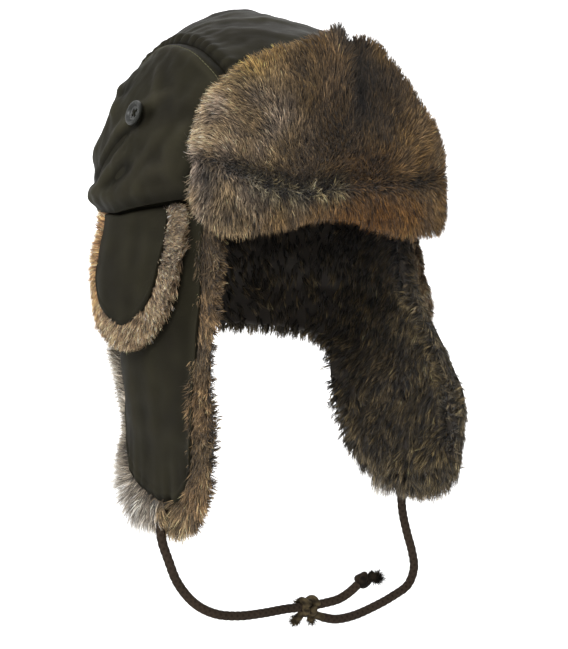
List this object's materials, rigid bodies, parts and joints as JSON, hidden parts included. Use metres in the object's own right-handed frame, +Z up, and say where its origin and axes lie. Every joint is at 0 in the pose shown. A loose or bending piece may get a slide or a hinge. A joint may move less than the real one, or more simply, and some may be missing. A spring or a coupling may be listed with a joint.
{
  "type": "ushanka hat",
  "caption": "Trapper hat with a padded nylon crown, turned-up fur front flap, long fur-lined ear flaps with button-up ear covers, and chin cords tied into a loop.",
  "frame": {"origin": "the head seat: the middle of the head opening, at the height of the crown's hem over the ears", "axes": "-Y is forward from the face, +X is the wearer's left, +Z is up through the crown"},
  "size_m": [0.2184, 0.2351, 0.3921],
  "materials": {
    "nylon": "satin",
    "fur_front": "matte",
    "fur_flap": "matte",
    "fur_cover": "matte",
    "button": "satin",
    "cord": "matte",
    "knot": "matte"
  },
  "bodies": {
    "root": {"crown_top_panel": "nylon", "crown_side_panel_right": "nylon", "crown_side_panel_left": "nylon", "button_right": "button", "button_left": "button", "front_flap_shell": "nylon", "front_flap_fur": "fur_front", "ear_flap_shell_right": "nylon", "ear_flap_shell_left": "nylon", "ear_flap_fur_right": "fur_flap", "ear_flap_fur_left": "fur_flap", "ear_cover_shell_right": "nylon", "ear_cover_shell_left": "nylon", "ear_cover_fur_right": "fur_cover", "ear_cover_fur_left": "fur_cover", "chin_cord_right": "cord", "chin_cord_left": "cord", "chin_knot_right": "knot", "chin_knot_left": "knot"}
  },
  "joints": []
}
